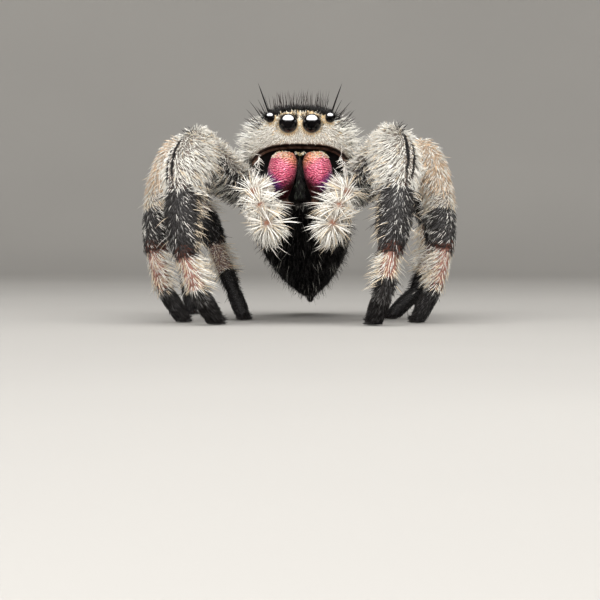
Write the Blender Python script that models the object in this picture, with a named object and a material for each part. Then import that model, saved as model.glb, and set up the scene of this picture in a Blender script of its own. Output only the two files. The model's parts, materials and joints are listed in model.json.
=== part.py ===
"""A regal jumping spider (Phidippus regius), adult female, life size.

She stands tall on a flat floor, faces -Y and has her left side at +X. The solids follow the
outer surface of the coat. Every named size is in millimetres, and MM turns it into metres.
"""

import math

import bmesh
import bpy
from mathutils import Matrix, Vector

MM = 0.001
GAP = 0.04  # clearance between neighbouring solids

# Prosoma: the front half of the body, with the head
EYE_HEIGHT = 7.1  # middle of the large front eyes above the floor
CARAPACE_BOTTOM = 5.1

# Carapace sections from the face to the waist: distance behind the face, half width, top, widest level, bottom
CARAPACE_SECTIONS = (
    (-0.10, 1.02, 7.42, 6.92, 6.42),
    (0.06, 1.38, 7.66, 6.75, 6.14),
    (0.55, 1.76, 7.78, 6.32, 5.55),
    (1.30, 2.02, 7.84, 6.06, 5.20),
    (2.30, 2.20, 7.80, 5.96, 5.10),
    (3.30, 2.26, 7.50, 5.88, 5.10),
    (4.30, 2.04, 6.92, 5.75, 5.10),
    (5.00, 1.60, 6.35, 5.62, 5.10),
    (5.50, 0.85, 5.85, 5.50, 5.15),
)
CARAPACE_SQUARENESS = 2.2
CARAPACE_SIDES = 26
CARAPACE_RINGS = 13

# Each pair of eyes: half spacing, distance behind the face, height above the large eyes, radius
EYES = {
    "front_middle": (0.42, -0.09, 0.0, 0.345),
    "front_side": (1.07, 0.00, 0.21, 0.185),
    "rear_middle": (1.08, 1.25, 0.48, 0.085),
    "rear_side": (1.34, 2.42, 0.25, 0.155),
}
EYE_SIDES = {"front_middle": 16, "front_side": 12, "rear_middle": 8, "rear_side": 10}

# Mouthparts
CHELICERA_WIDTH = 1.08
CHELICERA_TOP = 6.10
CHELICERA_BOTTOM = 4.35
CHELICERA_FRONT = -0.42
CHELICERA_DEPTH = 1.35
CHELICERA_SPACING = 0.64  # middle of each from the midline
JAW_SIDES = 14
JAW_RINGS = 9
JAW_FULLNESS = 0.62
FANG_LENGTH = 0.75
FANG_RADIUS = 0.17
ARCH_HALF_WIDTH = 1.80  # the opening under the face that holds the mouthparts
ARCH_SQUARENESS = 3.2
ARCH_TOP = 6.24
ARCH_DEPTH = 1.3
ARCH_SIDES = 24

# Sternum and waist
STERNUM_HALF = (1.05, 1.65, 0.42)
STERNUM_CENTRE = (0.0, 3.05, 4.62)
WAIST = (0.0, 5.95, 5.2)  # where the abdomen starts
WAIST_LENGTH = 0.28
WAIST_RADIUS = 0.3

# Abdomen, egg-shaped and narrowing to the spinnerets
ABDOMEN_LENGTH = 7.3
ABDOMEN_HALF_WIDTH = 1.92
ABDOMEN_HALF_HEIGHT = 1.88
ABDOMEN_PITCH = math.radians(-37.0)
ABDOMEN_YAW = math.radians(4.0)  # towards her left
ABDOMEN_SIDES = 20
ABDOMEN_RINGS = 12
SPINNERET_LENGTH = 0.62
SPINNERET_RADIUS = 0.2

# Legs: lengths of femur, patella, tibia, metatarsus and tarsus
SEGMENTS = ("femur", "patella", "tibia", "metatarsus", "tarsus")
LEG_LENGTHS = {
    1: (3.3, 2.0, 2.15, 1.55, 1.35),
    2: (3.0, 1.75, 1.8, 1.5, 1.25),
    3: (3.1, 1.55, 1.75, 1.95, 1.25),
    4: (3.6, 1.7, 2.3, 2.3, 1.3),
}
# Radius at each joint from hip to foot, and at the belly of each segment, over the coat
JOINT_RADII = {
    1: (0.40, 0.80, 0.72, 0.56, 0.42, 0.33),
    2: (0.38, 0.62, 0.58, 0.50, 0.38, 0.30),
    3: (0.38, 0.55, 0.50, 0.44, 0.34, 0.28),
    4: (0.38, 0.58, 0.52, 0.44, 0.34, 0.28),
}
BELLY_RADII = {
    1: (0.72, 0.90, 0.74, 0.58, 0.42),
    2: (0.60, 0.70, 0.62, 0.50, 0.38),
    3: (0.54, 0.58, 0.54, 0.44, 0.34),
    4: (0.58, 0.62, 0.54, 0.44, 0.34),
}
HIPS = {1: (1.93, 1.75), 2: (2.05, 2.65), 3: (2.05, 3.55), 4: (1.85, 4.45)}
HIP_HEIGHT = 4.72
COXA_INNER = 0.75  # where a coxa leaves the sternum
# Stance: heading of the femur in degrees from straight ahead, its pitch, the heading towards which the
# rest of the leg bows, and the foot's place on the floor, out from the midline and behind the face
STANCE = {
    ("leg1", "r"): (36.0, 27.0, 30.0, 3.00, -1.45),
    ("leg1", "l"): (26.0, 28.0, 14.0, 2.60, -2.00),
    ("leg2", "r"): (66.0, 28.0, 70.0, 4.25, 0.90),
    ("leg2", "l"): (66.0, 28.0, 68.0, 4.25, 0.40),
    ("leg3", "r"): (126.0, 20.0, 172.0, 2.10, 3.30),
    ("leg3", "l"): (112.0, 24.0, 120.0, 3.45, 4.30),
    ("leg4", "r"): (150.0, 30.0, 158.0, 4.30, 9.70),
    ("leg4", "l"): (143.0, 29.0, 150.0, 4.70, 9.20),
}
FOOT_CENTRE = 0.2  # height of a tarsus' rounded end above the floor
LEG_SIDES = 8
CAP_ANGLE = math.radians(50.0)  # where the ring of a rounded end lies

# Palps: joints from the mouth to the tip, out from the midline, behind the face and up
PALP_JOINTS = (
    (1.38, 0.75, 4.86),
    (1.60, -0.85, 4.55),
    (1.26, -1.40, 3.98),
    (1.15, -1.45, 3.58),
)
PALP_SEGMENTS = ("femur", "tibia", "tarsus")
PALP_JOINT_RADII = (0.28, 0.42, 0.50, 0.38)
PALP_BELLY_RADII = (0.36, 0.52, 0.56)
PALP_SIDES = 10

MATERIALS = {
    "white_coat": ((0.80, 0.76, 0.69), 0.85),
    "dark_coat": ((0.09, 0.09, 0.09), 0.80),
    "pink_coat": ((0.66, 0.50, 0.43), 0.80),
    "black_coat": ((0.02, 0.02, 0.02), 0.75),
    "iridescent": ((0.80, 0.16, 0.33), 0.35),
    "eye": ((0.01, 0.01, 0.01), 0.04),
}
LEG_COATS = {
    "femur": "white_coat",
    "patella": "white_coat",
    "tibia": "dark_coat",
    "metatarsus": "pink_coat",
    "tarsus": "black_coat",
}


def clear_scene():
    for obj in list(bpy.data.objects):
        bpy.data.objects.remove(obj)


def make_materials():
    made = {}
    for name, (colour, roughness) in MATERIALS.items():
        mat = bpy.data.materials.new(name)
        mat.use_nodes = True
        shader = mat.node_tree.nodes["Principled BSDF"]
        shader.inputs["Base Color"].default_value = (*colour, 1.0)
        shader.inputs["Roughness"].default_value = roughness
        made[name] = mat
    return made


def add_piece(name, bm, coat):
    """The millimetre mesh bm as an object in metres, under the empty that carries the spider."""
    bmesh.ops.recalc_face_normals(bm, faces=bm.faces)
    bmesh.ops.scale(bm, vec=(MM,) * 3, verts=bm.verts)
    mesh = bpy.data.meshes.new(name)
    bm.to_mesh(mesh)
    bm.free()
    mesh.shade_smooth()
    mesh.set_sharp_from_angle(angle=math.radians(50.0))
    obj = bpy.data.objects.new(name, mesh)
    mesh.materials.append(coats[coat])
    bpy.context.scene.collection.objects.link(obj)
    obj.parent = spider
    return obj


def add_rings(bm, rings, start_pole=None, end_pole=None):
    """Skins closed rings of equally many points into one closed tube. An end is a pole or a flat cap."""
    made = [[bm.verts.new(p) for p in ring] for ring in rings]
    count = len(made[0])
    for near, far in zip(made, made[1:]):
        for i in range(count):
            j = (i + 1) % count
            bm.faces.new((near[i], near[j], far[j], far[i]))
    for ring, pole in ((made[0], start_pole), (made[-1], end_pole)):
        if pole is None:
            bm.faces.new(ring)
            continue
        tip = bm.verts.new(pole)
        for i in range(count):
            bm.faces.new((ring[i], ring[(i + 1) % count], tip))


def add_bone(bm, start, end, start_radius, belly_radius, end_radius, sides):
    """A round-ended limb segment whose end spheres are centred on its joints."""
    axis = end - start
    length = axis.length
    turn = axis.to_track_quat("Z", "Y").to_matrix().to_4x4()
    place = Matrix.Translation(start) @ turn
    profile = [
        (-start_radius * math.sin(CAP_ANGLE), start_radius * math.cos(CAP_ANGLE)),
        (0.0, start_radius),
        (0.32 * length, belly_radius),
        (0.66 * length, belly_radius),
        (length, end_radius),
        (length + end_radius * math.sin(CAP_ANGLE), end_radius * math.cos(CAP_ANGLE)),
    ]
    rings = [
        [
            place @ Vector((r * math.cos(a), r * math.sin(a), z))
            for a in (2 * math.pi * i / sides for i in range(sides))
        ]
        for z, r in profile
    ]
    poles = (place @ Vector((0, 0, -start_radius)), place @ Vector((0, 0, length + end_radius)))
    add_rings(bm, rings, *poles)


def cut_away(bm, point, outward):
    """Cuts off what lies beyond the plane through point, on its outward side, and closes the cut."""
    found = bmesh.ops.bisect_plane(
        bm,
        geom=bm.verts[:] + bm.edges[:] + bm.faces[:],
        plane_co=point,
        plane_no=outward,
        clear_outer=True,
    )
    edges = [e for e in found["geom_cut"] if isinstance(e, bmesh.types.BMEdge)]
    if edges:
        bmesh.ops.contextual_create(bm, geom=edges)


def mitred_bones(joints, joint_radii, belly_radii, sides):
    """One bmesh per segment of a limb. Neighbours meet at the plane that halves their angle."""
    steps = [(b - a).normalized() for a, b in zip(joints, joints[1:])]
    bones = []
    for i, step in enumerate(steps):
        bm = bmesh.new()
        radii = (joint_radii[i], belly_radii[i], joint_radii[i + 1])
        add_bone(bm, joints[i], joints[i + 1], *radii, sides)
        if i > 0:
            across = (steps[i - 1] + step).normalized()
            cut_away(bm, joints[i] + across * GAP / 2, -across)
        if i + 1 < len(steps):
            across = (step + steps[i + 1]).normalized()
            cut_away(bm, joints[i + 1] - across * GAP / 2, across)
        bones.append(bm)
    return bones


def bent_chain(start, end, lengths, bow):
    """Joints of a limb from start to end whose segments all turn by the same angle and bow outwards."""
    reach = (end - start).length

    def flat_chain(bend):
        points = [Vector((0.0, 0.0))]
        for i, length in enumerate(lengths):
            angle = bend * i
            points.append(points[-1] + length * Vector((math.cos(angle), -math.sin(angle))))
        return points

    low, high = 0.0, math.pi / 2
    for _ in range(50):
        middle = (low + high) / 2
        if flat_chain(middle)[-1].length > reach:
            low = middle
        else:
            high = middle
    points = flat_chain(low)
    tip = points[-1].normalized()
    along = (end - start).normalized()
    side = (bow - along * bow.dot(along)).normalized()
    made = []
    for p in points:
        forward = p.dot(tip)
        aside = p.dot(Vector((-tip.y, tip.x)))
        made.append(start + along * forward + side * aside)
    return made


def leg_joints(pair, side):
    """Points of the coxa's root, the hip, the knee and on to the foot."""
    mirror = 1.0 if side == "l" else -1.0
    heading, pitch, bow_heading, foot_out, foot_back = STANCE[(f"leg{pair}", side)]
    hip_out, hip_back = HIPS[pair]
    hip = Vector((mirror * hip_out, hip_back, HIP_HEIGHT))
    root = Vector((mirror * COXA_INNER, 0.75 * hip_back + 0.25 * STERNUM_CENTRE[1], HIP_HEIGHT))
    heading, pitch, bow_heading = (math.radians(a) for a in (heading, pitch, bow_heading))
    femur = Vector(
        (
            mirror * math.sin(heading) * math.cos(pitch),
            -math.cos(heading) * math.cos(pitch),
            math.sin(pitch),
        )
    )
    lengths = LEG_LENGTHS[pair]
    knee = hip + femur * lengths[0]
    foot = Vector((mirror * foot_out, foot_back, FOOT_CENTRE))
    bow = Vector((mirror * math.sin(bow_heading), -math.cos(bow_heading), 0.35))
    return [root, hip, *bent_chain(knee, foot, lengths[1:], bow)]


def make_leg(pair, side):
    """The five free segments of one leg. Returns its coxa, which belongs to the sternum."""
    joints = leg_joints(pair, side)
    joint_radii = (0.42, *JOINT_RADII[pair])
    belly_radii = (0.40, *BELLY_RADII[pair])
    bones = mitred_bones(joints, joint_radii, belly_radii, LEG_SIDES)
    coxa, free = bones[0], bones[1:]
    cut_away(free[-1], Vector((0, 0, 0)), Vector((0, 0, -1)))
    for segment, bm in zip(SEGMENTS, free):
        add_piece(f"leg{pair}_{side}_{segment}", bm, LEG_COATS[segment])
    return coxa


def make_palp(side):
    mirror = 1.0 if side == "l" else -1.0
    joints = [Vector((mirror * x, y, z)) for x, y, z in PALP_JOINTS]
    bones = mitred_bones(joints, PALP_JOINT_RADII, PALP_BELLY_RADII, PALP_SIDES)
    for segment, bm in zip(PALP_SEGMENTS, bones):
        add_piece(f"palp_{side}_{segment}", bm, "white_coat")


def smooth_between(rows, share):
    """The row at a share from 0 to 1 along a Catmull-Rom curve through the rows."""
    place = share * (len(rows) - 1)
    i = min(int(place), len(rows) - 2)
    t = place - i
    a, b, c, d = (rows[max(0, min(len(rows) - 1, i + k))] for k in (-1, 0, 1, 2))
    return [
        0.5 * (2 * q + (r - p) * t + (2 * p - 5 * q + 4 * r - s) * t**2 + (3 * q - p - 3 * r + s) * t**3)
        for p, q, r, s in zip(a, b, c, d)
    ]


def signed_power(value, power):
    return math.copysign(abs(value) ** power, value)


def make_carapace():
    """The shield over the front of the body: a high, square head that slopes down to the waist."""
    power = 2.0 / CARAPACE_SQUARENESS
    rings = []
    for k in range(CARAPACE_RINGS):
        back, half, top, middle, bottom = smooth_between(CARAPACE_SECTIONS, k / (CARAPACE_RINGS - 1))
        ring = []
        for i in range(CARAPACE_SIDES):
            angle = 2 * math.pi * i / CARAPACE_SIDES
            x = half * signed_power(math.cos(angle), power)
            rise = signed_power(math.sin(angle), power)
            z = middle + rise * (top - middle if rise > 0 else middle - bottom)
            ring.append((x, back, z))
        rings.append(ring)
    bm = bmesh.new()
    first, last = CARAPACE_SECTIONS[0], CARAPACE_SECTIONS[-1]
    add_rings(bm, rings, (0, first[0] - 0.06, first[3]), (0, last[0] + 0.12, last[3]))
    return add_piece("carapace", bm, "white_coat")


def add_ball(bm, centre, halves, sides, turn=None):
    """An ellipsoid with its poles along its own Z."""
    place = Matrix.Translation(centre) @ (turn or Matrix.Identity(4)) @ Matrix.Diagonal((*halves, 1))
    bmesh.ops.create_uvsphere(bm, u_segments=sides, v_segments=max(6, sides * 2 // 3), radius=1, matrix=place)


def add_squared_ball(bm, centre, halves):
    """An upright ellipsoid filled out towards a box, which suits a stout jaw."""
    rings = []
    for k in range(JAW_RINGS):
        angle = math.pi * ((k + 0.5) / JAW_RINGS - 0.5)
        width = math.cos(angle) ** JAW_FULLNESS
        z = halves[2] * signed_power(math.sin(angle), 0.9)
        turns = (2 * math.pi * i / JAW_SIDES for i in range(JAW_SIDES))
        rings.append(
            [
                centre + Vector((halves[0] * width * math.cos(a), halves[1] * width * math.sin(a), z))
                for a in turns
            ]
        )
    add_rings(bm, rings, centre - Vector((0, 0, halves[2])), centre + Vector((0, 0, halves[2])))


def eye_centre(pair, side):
    out, back, above, _ = EYES[pair]
    return Vector(((1 if side == "l" else -1) * out, back, EYE_HEIGHT + above))


def make_eyes(carapace):
    """Eight eyes, each a ball in its own socket."""
    for pair, (_, _, _, radius) in EYES.items():
        for side in ("l", "r"):
            for name, grow in ((f"eye_{pair}_{side}", 0.0), (f"socket_{pair}_{side}", GAP)):
                bm = bmesh.new()
                turn = Matrix.Rotation(math.pi / 2, 4, "X")
                add_ball(bm, eye_centre(pair, side), (radius + grow,) * 3, EYE_SIDES[pair], turn)
                ball = add_piece(name, bm, "eye")
                if grow:
                    cut_with(carapace, ball)


def hide_cutter(cutter):
    cutter.hide_render = True
    cutter.display_type = "WIRE"


def cut_with(target, cutter, operation="DIFFERENCE"):
    """A cutter or a shape to join, kept as a hidden guide."""
    hide_cutter(cutter)
    modifier = target.modifiers.new(f"{operation.lower()}_{cutter.name}", "BOOLEAN")
    modifier.operation = operation
    modifier.solver = "EXACT"
    modifier.object = cutter


def keep_clear(target, blocker):
    """Cuts from target the space of blocker and the clearance round it."""
    cutter = bpy.data.objects.new(f"clearance_{target.name}_{blocker.name}", blocker.data)
    bpy.context.scene.collection.objects.link(cutter)
    cutter.parent = spider
    swell = cutter.modifiers.new("swell", "DISPLACE")
    swell.mid_level = 0.0
    swell.strength = GAP * MM * 1.5
    cut_with(target, cutter)


def make_chelicerae(carapace):
    """Two stout jaws side by side under the face, each with a short fang folded inwards at its end."""
    arch = bmesh.new()
    foot = CARAPACE_BOTTOM - 0.5
    angles = [2 * math.pi * i / ARCH_SIDES for i in range(ARCH_SIDES)]
    height = ARCH_TOP - foot
    power = 2 / ARCH_SQUARENESS
    outline = [
        (ARCH_HALF_WIDTH * signed_power(math.cos(a), power), foot + height * signed_power(math.sin(a), power))
        for a in angles
    ]
    rings = [[(x, back, z) for x, z in outline] for back in (-1.0, ARCH_DEPTH)]
    add_rings(arch, rings)
    cut_with(carapace, add_piece("mouth_arch", arch, "black_coat"))
    middle = (CHELICERA_TOP + CHELICERA_BOTTOM) / 2
    halves = (CHELICERA_WIDTH / 2, CHELICERA_DEPTH / 2, (CHELICERA_TOP - CHELICERA_BOTTOM) / 2)
    for side, mirror in (("l", 1.0), ("r", -1.0)):
        bm = bmesh.new()
        centre = Vector((mirror * CHELICERA_SPACING, CHELICERA_FRONT + CHELICERA_DEPTH / 2, middle))
        add_squared_ball(bm, centre, halves)
        jaw = add_piece(f"chelicera_{side}", bm, "iridescent")
        fang = bmesh.new()
        root = Vector((mirror * CHELICERA_SPACING, centre.y - 0.05, CHELICERA_BOTTOM + 0.12))
        tip = root + Vector((-mirror * 0.75, 0.35, -0.35)).normalized() * FANG_LENGTH
        tip.x = max(tip.x * mirror, 0.22) * mirror
        add_bone(fang, root, tip, FANG_RADIUS, FANG_RADIUS * 0.85, FANG_RADIUS * 0.6, 8)
        cut_with(jaw, add_piece(f"fang_{side}", fang, "black_coat"), "UNION")


def make_sternum(coxae):
    """The plate under the front body, with the first joint of each leg grown onto it."""
    bm = bmesh.new()
    add_ball(bm, Vector(STERNUM_CENTRE), STERNUM_HALF, 16)
    sternum = add_piece("sternum", bm, "dark_coat")
    for i, coxa in enumerate(coxae):
        cut_with(sternum, add_piece(f"coxa_{i}", coxa, "dark_coat"), "UNION")
    return sternum


def abdomen_frame():
    """Places the abdomen's own frame, with Z from the waist to the tip and Y up its back."""
    back = Vector(
        (
            math.sin(ABDOMEN_YAW) * math.cos(ABDOMEN_PITCH),
            math.cos(ABDOMEN_YAW) * math.cos(ABDOMEN_PITCH),
            math.sin(ABDOMEN_PITCH),
        )
    )
    side = back.cross(Vector((0, 0, 1))).normalized()
    up = side.cross(back)
    turn = Matrix((side, up, back)).transposed().to_4x4()
    return Matrix.Translation(WAIST) @ turn


def abdomen_swell(share):
    """Radius along the abdomen as a share of its largest: round in front, tapering behind."""
    front = math.sin(math.pi / 2 * min(share / 0.40, 1.0)) ** 0.62
    behind = max(share - 0.40, 0.0) / 0.60
    return front * (1.0 - 0.82 * behind**1.55)


def make_abdomen():
    place = abdomen_frame()
    rings = []
    for k in range(ABDOMEN_RINGS):
        share = 0.02 + 0.98 * k / (ABDOMEN_RINGS - 1)
        swell = abdomen_swell(share)
        ring = []
        for i in range(ABDOMEN_SIDES):
            angle = 2 * math.pi * i / ABDOMEN_SIDES
            x = ABDOMEN_HALF_WIDTH * swell * math.cos(angle)
            y = ABDOMEN_HALF_HEIGHT * swell * math.sin(angle)
            ring.append(place @ Vector((x, y, share * ABDOMEN_LENGTH)))
        rings.append(ring)
    bm = bmesh.new()
    add_rings(bm, rings, place @ Vector((0, 0, 0)), None)
    abdomen = add_piece("abdomen", bm, "black_coat")
    waist = bmesh.new()
    front = Vector(WAIST) - Vector((0, WAIST_LENGTH - WAIST_RADIUS, 0))
    add_bone(waist, place @ Vector((0, 0, 0.6)), front, 0.4, 0.36, WAIST_RADIUS, 10)
    cut_with(abdomen, add_piece("waist", waist, "black_coat"), "UNION")
    return abdomen


def make_spinnerets():
    """A tuft of four short spinnerets at the tip of the abdomen."""
    place = abdomen_frame() @ Matrix.Translation((0, 0, ABDOMEN_LENGTH + GAP))
    core = bmesh.new()
    add_bone(core, place @ Vector((0, 0, 0)), place @ Vector((0, 0, 0.22)), 0.3, 0.3, 0.24, 10)
    cut_away(core, place @ Vector((0, 0, 0)), -place.col[2].to_3d())
    cluster = add_piece("spinnerets", core, "dark_coat")
    for i in range(4):
        angle = math.pi / 4 + math.pi / 2 * i
        foot = Vector((0.14 * math.cos(angle), 0.12 * math.sin(angle), 0.16))
        tip = Vector((0.24 * math.cos(angle), 0.20 * math.sin(angle), SPINNERET_LENGTH - 0.12))
        bm = bmesh.new()
        add_bone(bm, place @ foot, place @ tip, SPINNERET_RADIUS * 0.8, SPINNERET_RADIUS * 0.7, 0.11, 6)
        cut_with(cluster, add_piece(f"spinneret_{i}", bm, "dark_coat"), "UNION")
    return cluster


def stand_on_origin():
    """Moves the whole spider so that the middle of its box stands on the origin."""
    bpy.context.view_layer.update()
    graph = bpy.context.evaluated_depsgraph_get()
    corners = []
    for obj in bpy.context.scene.objects:
        if obj.type == "MESH" and not obj.hide_render:
            solid = obj.evaluated_get(graph)
            corners += [v.co.copy() for v in solid.to_mesh().vertices]
            solid.to_mesh_clear()
    low = [min(c[k] for c in corners) for k in range(3)]
    high = [max(c[k] for c in corners) for k in range(3)]
    spider.location = (-(low[0] + high[0]) / 2, -(low[1] + high[1]) / 2, -low[2])


clear_scene()
coats = make_materials()
spider = bpy.data.objects.new("spider", None)
bpy.context.scene.collection.objects.link(spider)

shield = make_carapace()
make_eyes(shield)
make_chelicerae(shield)
hip_joints = [make_leg(pair, side) for pair in LEG_LENGTHS for side in ("l", "r")]
make_sternum(hip_joints)
for palp_side in ("l", "r"):
    make_palp(palp_side)
make_abdomen()
make_spinnerets()
stand_on_origin()
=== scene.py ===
"""Looks of the jumping spider: one skin over all the flesh, a coat of mesh hairs, eyes and jaws.

Shapes are worked out in millimetres, from the CAD frame, and turned into metres as they are made.
"""

import json
from math import ceil, copysign, cos, pi, radians, sin
from types import SimpleNamespace

import bmesh
import bpy
import numpy as np
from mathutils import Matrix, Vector, noise
from mathutils.bvhtree import BVHTree
from mathutils.kdtree import KDTree

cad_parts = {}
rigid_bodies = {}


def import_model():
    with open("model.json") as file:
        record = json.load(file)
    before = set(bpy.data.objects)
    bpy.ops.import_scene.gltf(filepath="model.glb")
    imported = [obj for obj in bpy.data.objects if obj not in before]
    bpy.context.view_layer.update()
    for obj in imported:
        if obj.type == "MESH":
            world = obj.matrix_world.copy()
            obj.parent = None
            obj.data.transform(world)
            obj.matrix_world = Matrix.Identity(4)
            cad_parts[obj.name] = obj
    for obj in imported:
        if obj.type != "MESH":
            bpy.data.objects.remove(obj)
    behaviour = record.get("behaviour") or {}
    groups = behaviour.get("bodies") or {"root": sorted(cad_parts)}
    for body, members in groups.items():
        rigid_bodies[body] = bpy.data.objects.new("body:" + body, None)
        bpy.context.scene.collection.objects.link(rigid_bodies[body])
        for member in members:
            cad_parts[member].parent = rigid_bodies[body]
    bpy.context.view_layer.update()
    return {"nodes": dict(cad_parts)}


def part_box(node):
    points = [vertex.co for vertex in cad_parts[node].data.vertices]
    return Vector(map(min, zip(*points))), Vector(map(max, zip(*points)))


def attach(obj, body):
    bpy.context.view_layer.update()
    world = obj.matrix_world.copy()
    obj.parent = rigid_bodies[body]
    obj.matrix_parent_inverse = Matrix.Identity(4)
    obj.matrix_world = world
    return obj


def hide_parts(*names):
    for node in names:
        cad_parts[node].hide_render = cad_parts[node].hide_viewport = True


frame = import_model()

MM = 0.001
SCENE = bpy.context.scene
RNG = np.random.default_rng(7)
MIRRORS = (("l", 1.0), ("r", -1.0))
PAIRS = (1, 2, 3, 4)
SEGMENTS = ("femur", "patella", "tibia", "metatarsus", "tarsus")
PALP_SEGMENTS = ("femur", "tibia", "tarsus")
PALP = 5  # stands for a palp where the legs have their pair's number

VOXEL = 0.055
BODY_COAT = {"carapace": 0.13, "sternum": 0.08, "abdomen": 0.14}
# Bare limb as a share of the coated one, at the belly of each segment and at the joints
LIMB_SHARE = {
    1: (0.74, 0.76, 0.72, 0.52, 0.72),
    2: (0.72, 0.72, 0.70, 0.54, 0.72),
    3: (0.76, 0.76, 0.72, 0.58, 0.76),
    4: (0.76, 0.76, 0.72, 0.58, 0.76),
    PALP: (0.60, 0.46, 0.46),
}
JOINT_SHARE = 0.64
FOOT_RADIUS = 0.16
SKIN_CLEAR, HAIR_CLEAR = 0.12, 0.05  # heights over the floor in which skin and hairs are pressed flat


def spread(low, high, count):
    return low + (high - low) * RNG.random(count)


def normal(shape):
    return RNG.standard_normal(shape)


def linear(*rgb):
    """A colour written in sRGB bytes as linear values."""
    c = np.array(rgb) / 255
    return np.where(c <= 0.04045, c / 12.92, ((c + 0.055) / 1.055) ** 2.4)


WHITE = linear(253, 249, 240)
CREAM = linear(246, 228, 200)
PEACH = linear(242, 212, 178)
GOLD = linear(240, 206, 150)
GREY = linear(146, 144, 142)
SMOKE = linear(84, 82, 81)
DARK = linear(46, 43, 42)
BLACK = linear(24, 22, 22)
PINK = linear(178, 132, 118)
RUST = linear(98, 58, 46)
BROWN = linear(54, 33, 26)
SKIN_PAINTED_SHADE = linear(176, 164, 150)  # bare skin under pale hair: its own colour, darkened as painted shade in the gaps between the hairs
LEG_SKIN_PAINTED_SHADE = linear(128, 119, 110)  # the same on the legs, darker still as painted shade
# the skin under the face's hair: darker than the hair as painted shade in the gaps, lighter than the skin
# elsewhere as painted light on the face
FACE_SKIN_PAINTED_LIGHT_AND_SHADE = linear(194, 185, 172)

# --- the frame


def cad_mesh(name):
    """Points in millimetres and faces of a CAD node, welded."""
    bm = bmesh.new()
    bm.from_mesh(frame["nodes"][name].data)
    bmesh.ops.remove_doubles(bm, verts=bm.verts, dist=1e-7)
    points = np.array([v.co for v in bm.verts]) / MM
    faces = [[v.index for v in f.verts] for f in bm.faces]
    bm.free()
    return points, faces


def cad_middle(name):
    low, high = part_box(name)
    return (np.array(low) + np.array(high)) / 2 / MM


def eye_radius(name):
    low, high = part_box(name)
    return (high[2] - low[2]) / MM / 2


def surface_tree(points, faces):
    return BVHTree.FromPolygons([Vector(p) for p in points], [tuple(f) for f in faces])


def seam_middle(one, other, reach=0.09):
    """Where two neighbouring nodes meet."""

    def middle_of_near(points, tree):
        near = [p for p in points if tree.find_nearest(Vector(p), reach)[0] is not None]
        return np.mean(near, axis=0)

    a, b = cad_mesh(one), cad_mesh(other)
    return (middle_of_near(a[0], surface_tree(*b)) + middle_of_near(b[0], surface_tree(*a))) / 2


def unit(v):
    v = np.asarray(v, float)
    return v / np.maximum(np.linalg.norm(v, axis=-1, keepdims=True), 1e-9)


EYES = {}
for kind in ("front_middle", "front_side", "rear_middle", "rear_side"):
    for side, _ in MIRRORS:
        name = f"eye_{kind}_{side}"
        EYES[name] = (cad_middle(name), eye_radius(name))
MAIN_EYE = EYES["eye_front_middle_l"][0]
EYE_LEVEL = MAIN_EYE[2]
FACE = cad_middle("carapace") * (1, 0, 0) + (MAIN_EYE + (0, 0.02, 0)) * (0, 1, 0)


def measure_limb(pair, side, names, root_node):
    """The straight lengths of a limb: their ends, radii, and which way back and outer side face."""
    joints = [seam_middle(names[0], root_node, 0.25)]
    joints += [seam_middle(a, b) for a, b in zip(names, names[1:])]
    last = cad_mesh(names[-1])[0]
    before = joints[-1]
    reach = (last - before) @ unit(last.mean(axis=0) - before)
    tip = last[reach > reach.max() - FOOT_RADIUS].mean(axis=0)
    joints.append(tip + unit(before - tip) * FOOT_RADIUS)
    chord_middle = (joints[0] + joints[-1]) / 2
    outward = np.array([side, 0, 0] if pair in (1, PALP) else [0, 1.0, 0])
    segments = []
    for i, name in enumerate(names):
        s = SimpleNamespace(pair=pair, index=i, side=side, start=joints[i], end=joints[i + 1])
        reach = s.end - s.start
        s.length = float(np.linalg.norm(reach))
        s.axis = reach / s.length
        points = cad_mesh(name)[0]
        along = (points - s.start) @ reach / (reach @ reach)
        off = np.linalg.norm(points - s.start - along[:, None] * reach, axis=1)
        s.coat_radius = off[(along > 0.2) & (along < 0.8)].max()
        s.belly = s.coat_radius * LIMB_SHARE[pair][i]
        back = unit((s.start + s.end) / 2 - chord_middle) + (0, 0, 0.9 if i == 0 else 0.15)
        if pair == PALP:
            back = np.array([0, -1.0, 0.1])
        s.dorsal = unit(back - s.axis * (back @ s.axis))
        s.outer = np.cross(s.axis, s.dorsal)
        if s.outer @ outward < 0:
            s.outer = -s.outer
        segments.append(s)
    return segments


LIMBS = []
for side, mirror in MIRRORS:
    for pair in PAIRS:
        LIMBS += measure_limb(pair, mirror, [f"leg{pair}_{side}_{s}" for s in SEGMENTS], "sternum")
    LIMBS += measure_limb(PALP, mirror, [f"palp_{side}_{s}" for s in PALP_SEGMENTS], f"chelicera_{side}")
FEET = [s for s in LIMBS if s.pair != PALP and s.index == 4]

WAIST = np.array([FACE[0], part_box("abdomen")[0][1] / MM, 0.0])
abdomen_points = cad_mesh("abdomen")[0]
WAIST[2] = abdomen_points[abdomen_points[:, 1] < WAIST[1] + 0.2][:, 2].mean()
TAIL = cad_middle("spinnerets")
BACK_AXIS = unit(TAIL - WAIST)
BACK_LENGTH = float((TAIL - WAIST) @ BACK_AXIS)
BACK_SIDE = unit(np.cross(BACK_AXIS, (0, 0, 1)))
BACK_UP = np.cross(BACK_SIDE, BACK_AXIS)

# Regions of the skin: these four, and then each segment of the limbs
BODY_REGIONS = ("carapace", "sternum", "abdomen", "spinnerets")
HEAD, CHEST, ABDOMEN, SPINNERETS = range(4)
FIRST_LIMB = len(BODY_REGIONS)


def by_region(field, body):
    """A value for each region: one for all the body, and then each segment's own."""
    return np.array([body] * FIRST_LIMB + [getattr(s, field) for s in LIMBS])


PAIR_OF, INDEX_OF, SIDE_OF = (by_region(field, 0) for field in ("pair", "index", "side"))
START_OF, AXIS_OF, DORSAL_OF, OUTER_OF = (
    by_region(field, np.zeros(3)) for field in ("start", "axis", "dorsal", "outer")
)
LENGTH_OF = by_region("length", 1.0)


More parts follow.
